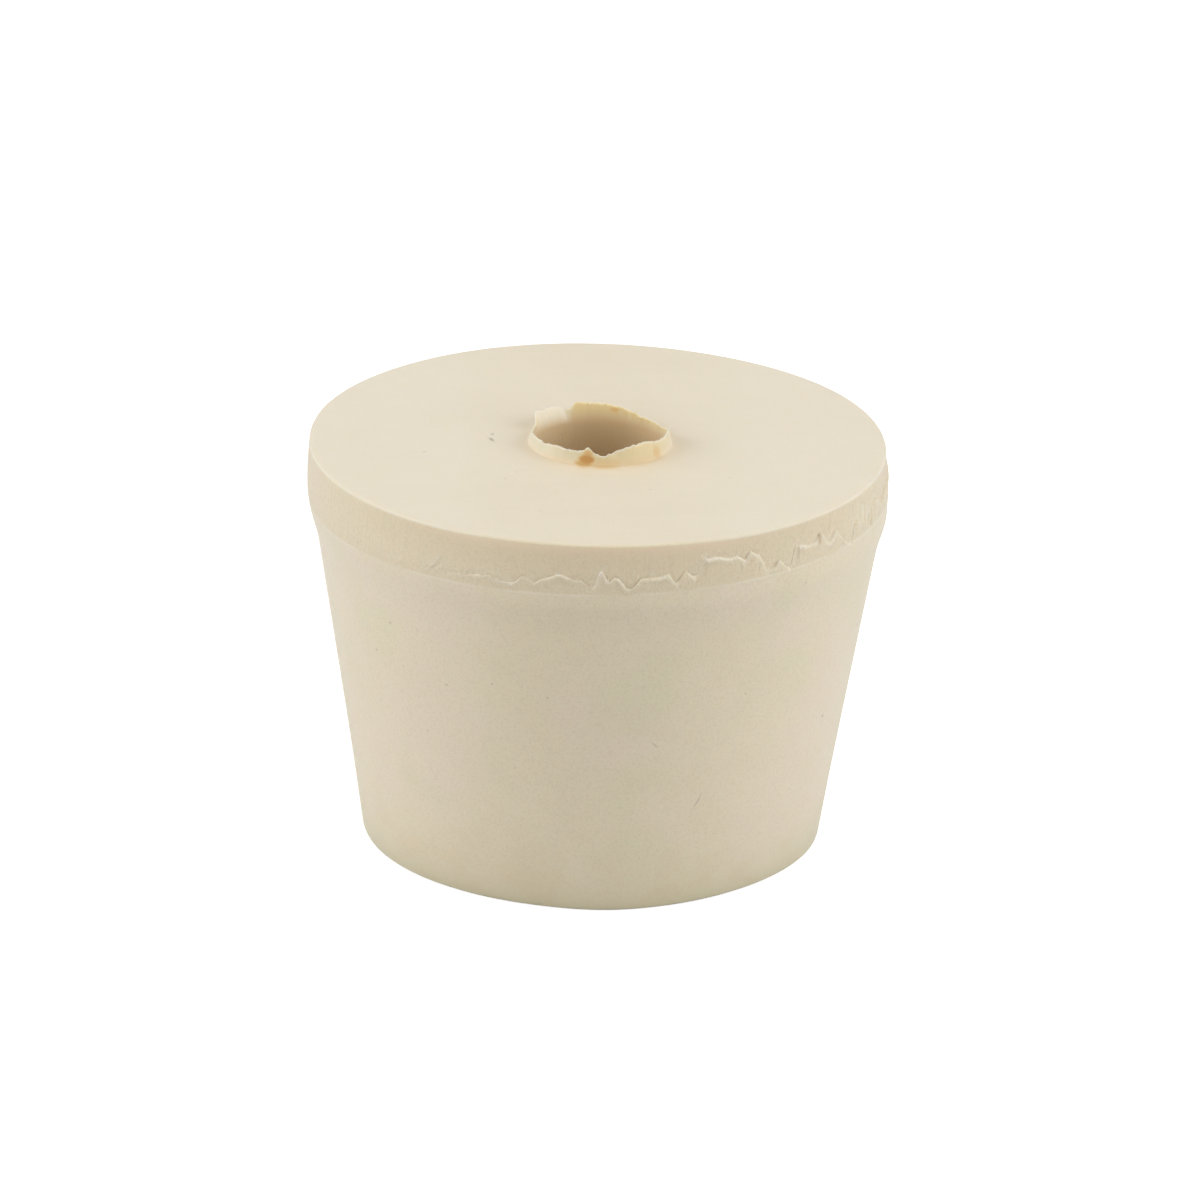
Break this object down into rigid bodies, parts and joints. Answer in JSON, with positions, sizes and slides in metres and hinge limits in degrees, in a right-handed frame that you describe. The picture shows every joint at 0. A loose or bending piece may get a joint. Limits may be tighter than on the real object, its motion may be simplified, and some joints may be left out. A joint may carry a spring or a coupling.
{
  "type": "rubber stopper",
  "caption": "Tapered one-hole rubber stopper with a straight bore, a torn moulding lip round the hole and a ragged mould skin round the head.",
  "frame": {"origin": "centre of the bore at the foot, where the stopper stands", "axes": "+Z along the bore, from the foot to the wide head; the front of the reference view is -Y, with +X to its right"},
  "size_m": [0.0354, 0.0354, 0.0262],
  "materials": {
    "rubber": "matte, slightly waxy cream rubber with fine silky streaks"
  },
  "bodies": {
    "root": {"stopper": "rubber"}
  },
  "joints": []
}
